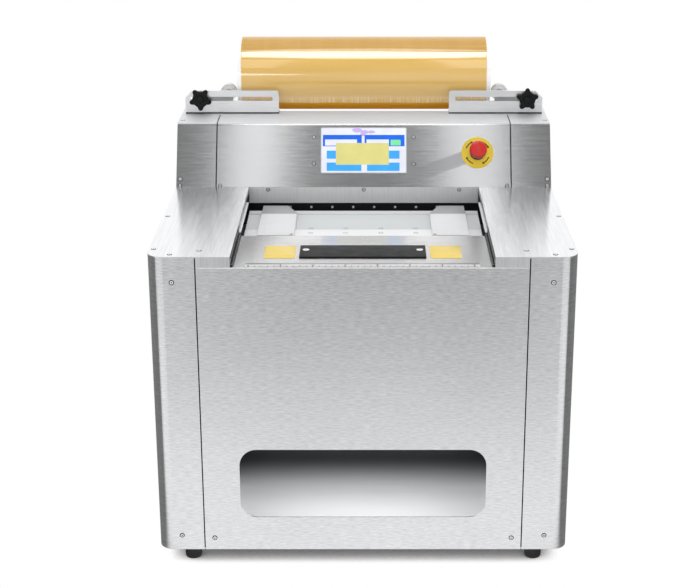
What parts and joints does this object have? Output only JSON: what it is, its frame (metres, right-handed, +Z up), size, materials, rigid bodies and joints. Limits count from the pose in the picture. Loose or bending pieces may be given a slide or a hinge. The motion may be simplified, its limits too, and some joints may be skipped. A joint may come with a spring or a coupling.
{
  "type": "cling film wrapping machine",
  "caption": "Table-top film wrapping machine with a lift bed, side guides, a slanted console with touch screen and stop button, and a film roll held on rollers by sliding stops.",
  "frame": {"origin": "middle of the machine's outline at the floor under its feet", "axes": "+Z up, +X to the operator's right, -Y out of the front face"},
  "size_m": [0.667, 0.7024, 0.762],
  "materials": {
    "cabinet_steel": "brushed",
    "frame_steel": "satin",
    "shaft_steel": "satin",
    "arm_aluminium": "satin",
    "screw_steel": "polished",
    "coated_strip": "matte",
    "heater_metal": "matte",
    "yellow_plastic": "satin",
    "ruler_metal": "satin",
    "screen_glass": "gloss",
    "dark_plastic": "matte",
    "red_plastic": "gloss",
    "black_metal": "matte",
    "black_rubber": "matte",
    "white_board": "matte",
    "white_nylon": "satin",
    "core_board": "satin",
    "amber_film": "gloss",
    "clear_film": "gloss"
  },
  "bodies": {
    "cabinet": {"base_plate": "cabinet_steel", "inner_walls": "frame_steel", "left_side_cover": "cabinet_steel", "right_side_cover": "cabinet_steel", "front_panel": "cabinet_steel", "rear_panel": "cabinet_steel", "front_pocket": "cabinet_steel", "left_deck": "cabinet_steel", "right_deck": "cabinet_steel", "top_plate": "cabinet_steel", "front_table": "cabinet_steel", "table_rails": "frame_steel", "heater_strip": "coated_strip", "heater_block": "heater_metal", "table_labels": "yellow_plastic", "ruler_plate": "ruler_metal", "console_cover": "cabinet_steel", "left_console_cap": "cabinet_steel", "right_console_cap": "cabinet_steel", "console_skirt": "cabinet_steel", "screen_glass": "screen_glass", "screen_housing": "dark_plastic", "estop_ring": "yellow_plastic", "estop_block": "dark_plastic", "stop_brackets": "frame_steel", "bracket_gaskets": "black_rubber", "roll_stands": "frame_steel", "feed_bearings": "frame_steel", "drive_units": "black_metal", "film_bar": "black_metal", "lift_frame": "frame_steel", "fold_rails": "frame_steel", "mains_inlet": "dark_plastic", "feet": "black_rubber", "screws": "screw_steel"},
    "film_roll": {"film_core": "core_board", "film_roll": "amber_film", "film_lap": "clear_film"},
    "front_support_roller": {"front_support_roller": "shaft_steel"},
    "rear_support_roller": {"rear_support_roller": "shaft_steel"},
    "feed_roller": {"feed_roller": "shaft_steel"},
    "pinch_roller": {"pinch_roller": "shaft_steel"},
    "left_stop": {"left_stop_arm": "arm_aluminium"},
    "right_stop": {"right_stop_arm": "arm_aluminium"},
    "left_knob": {"left_knob": "dark_plastic"},
    "right_knob": {"right_knob": "dark_plastic"},
    "left_idler": {"left_idler": "white_nylon"},
    "right_idler": {"right_idler": "white_nylon"},
    "stop_button_stem": {"estop_stem": "dark_plastic"},
    "stop_button_head": {"estop_head": "red_plastic"},
    "lift": {"lift_boards": "white_board", "lift_carrier": "frame_steel", "lift_screws": "screw_steel"},
    "left_guide": {"left_guide": "white_board"},
    "right_guide": {"right_guide": "white_board"},
    "lift_spindle": {"lift_spindle": "frame_steel"},
    "left_fold_plate": {"left_fold_plate": "frame_steel"},
    "right_fold_plate": {"right_fold_plate": "frame_steel"},
    "cutter": {"cutter_blade": "frame_steel"},
    "power_rocker": {"power_rocker": "dark_plastic"}
  },
  "joints": [
    {"name": "film_roll_spin", "type": "hinge", "parent": "cabinet", "child": "film_roll", "pos_m": [0, 0.275, 0.6949], "axis": [1, 0, 0], "continuous": true},
    {"name": "front_support_spin", "type": "hinge", "parent": "cabinet", "child": "front_support_roller", "pos_m": [0, 0.235, 0.62395], "axis": [1, 0, 0], "continuous": true},
    {"name": "rear_support_spin", "type": "hinge", "parent": "cabinet", "child": "rear_support_roller", "pos_m": [0, 0.315, 0.62395], "axis": [1, 0, 0], "continuous": true},
    {"name": "feed_roller_spin", "type": "hinge", "parent": "cabinet", "child": "feed_roller", "pos_m": [0, 0.185, 0.59], "axis": [1, 0, 0], "continuous": true},
    {"name": "pinch_roller_spin", "type": "hinge", "parent": "cabinet", "child": "pinch_roller", "pos_m": [0, 0.185, 0.6173], "axis": [1, 0, 0], "continuous": true},
    {"name": "left_stop_slide", "type": "slide", "parent": "cabinet", "child": "left_stop", "axis": [-1, 0, 0], "range_m": [-0.0084, 0.012]},
    {"name": "right_stop_slide", "type": "slide", "parent": "cabinet", "child": "right_stop", "axis": [1, 0, 0], "range_m": [-0.0084, 0.012]},
    {"name": "left_knob_turn", "type": "hinge", "parent": "left_stop", "child": "left_knob", "pos_m": [-0.299, 0.188, 0.6625], "axis": [0, 1, 0], "continuous": true},
    {"name": "right_knob_turn", "type": "hinge", "parent": "right_stop", "child": "right_knob", "pos_m": [0.299, 0.188, 0.6625], "axis": [0, 1, 0], "continuous": true},
    {"name": "left_idler_spin", "type": "hinge", "parent": "left_stop", "child": "left_idler", "pos_m": [-0.2527, 0.26, 0.6625], "axis": [0, 1, 0], "continuous": true},
    {"name": "right_idler_spin", "type": "hinge", "parent": "right_stop", "child": "right_idler", "pos_m": [0.2527, 0.26, 0.6625], "axis": [0, 1, 0], "continuous": true},
    {"name": "stop_button_press", "type": "slide", "parent": "cabinet", "child": "stop_button_stem", "axis": [0, 0.8732, -0.4874], "range_m": [0, 0.0045]},
    {"name": "stop_button_twist", "type": "hinge", "parent": "stop_button_stem", "child": "stop_button_head", "pos_m": [0.203, 0.09061, 0.58683], "axis": [0, -0.8732, 0.4874], "range_deg": [-45, 0], "stiffness_Nm_per_rad": 0.05},
    {"name": "lift_slide", "type": "slide", "parent": "cabinet", "child": "lift", "axis": [0, 0, 1], "range_m": [-0.11, 0]},
    {"name": "left_guide_slide", "type": "slide", "parent": "lift", "child": "left_guide", "axis": [1, 0, 0], "range_m": [-0.02, 0.08]},
    {"name": "right_guide_slide", "type": "slide", "parent": "lift", "child": "right_guide", "axis": [-1, 0, 0], "range_m": [-0.02, 0.08]},
    {"name": "lift_spindle_spin", "type": "hinge", "parent": "cabinet", "child": "lift_spindle", "pos_m": [0, -0.0925, 0.27], "axis": [0, 0, 1], "range_deg": [-1, 3962]},
    {"name": "left_fold_slide", "type": "slide", "parent": "cabinet", "child": "left_fold_plate", "axis": [1, 0, 0], "range_m": [0, 0.1]},
    {"name": "right_fold_slide", "type": "slide", "parent": "cabinet", "child": "right_fold_plate", "axis": [-1, 0, 0], "range_m": [0, 0.1]},
    {"name": "cutter_slide", "type": "slide", "parent": "cabinet", "child": "cutter", "axis": [0, 0, 1], "range_m": [0, 0.012], "stiffness_N_per_m": 300},
    {"name": "power_rocker_tilt", "type": "hinge", "parent": "cabinet", "child": "power_rocker", "pos_m": [0.098, 0.343, 0.09], "axis": [1, 0, 0], "range_deg": [-12, 12]}
  ],
  "couplings": [
    {"joint": "front_support_spin", "follows": "film_roll_spin", "ratio": -4.7964},
    {"joint": "rear_support_spin", "follows": "film_roll_spin", "ratio": -4.7964},
    {"joint": "pinch_roller_spin", "follows": "feed_roller_spin", "ratio": -1.25},
    {"joint": "lift_spindle_spin", "follows": "lift_slide", "rad_per_m": -628.32},
    {"joint": "right_fold_slide", "follows": "left_fold_slide", "ratio": 1}
  ]
}
